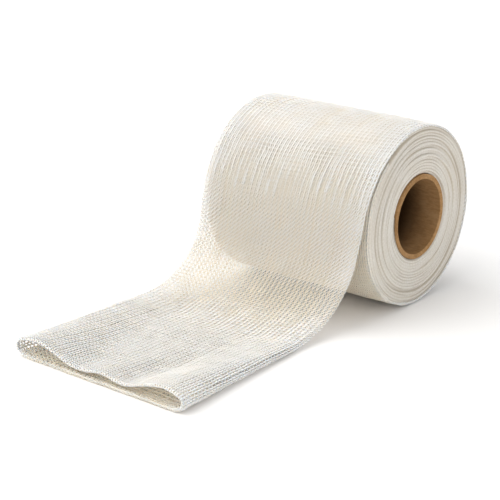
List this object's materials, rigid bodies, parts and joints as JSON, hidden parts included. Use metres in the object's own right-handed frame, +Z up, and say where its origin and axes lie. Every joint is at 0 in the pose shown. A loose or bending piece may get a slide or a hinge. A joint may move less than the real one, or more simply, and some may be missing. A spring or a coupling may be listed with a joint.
{
  "type": "fibreglass cast stockinette roll",
  "caption": "Roll of tubular knitted stockinette wound on a cardboard core, its loose end paid out flat to an open mouth; goes under a fibreglass cast.",
  "frame": {"origin": "on the floor, in the middle of the flat spot the roll stands on, halfway along its length", "axes": "+X along the roll's axis towards the end face that shows, +Y away from the loose end, +Z up"},
  "size_m": [0.1097, 0.2184, 0.0927],
  "materials": {
    "cardboard": "plain kraft board, matt",
    "knit": "undyed soft knit, matt and slightly fuzzy"
  },
  "bodies": {
    "root": {"core": "cardboard", "wound_roll": "knit", "loose_end": "knit"}
  },
  "joints": []
}
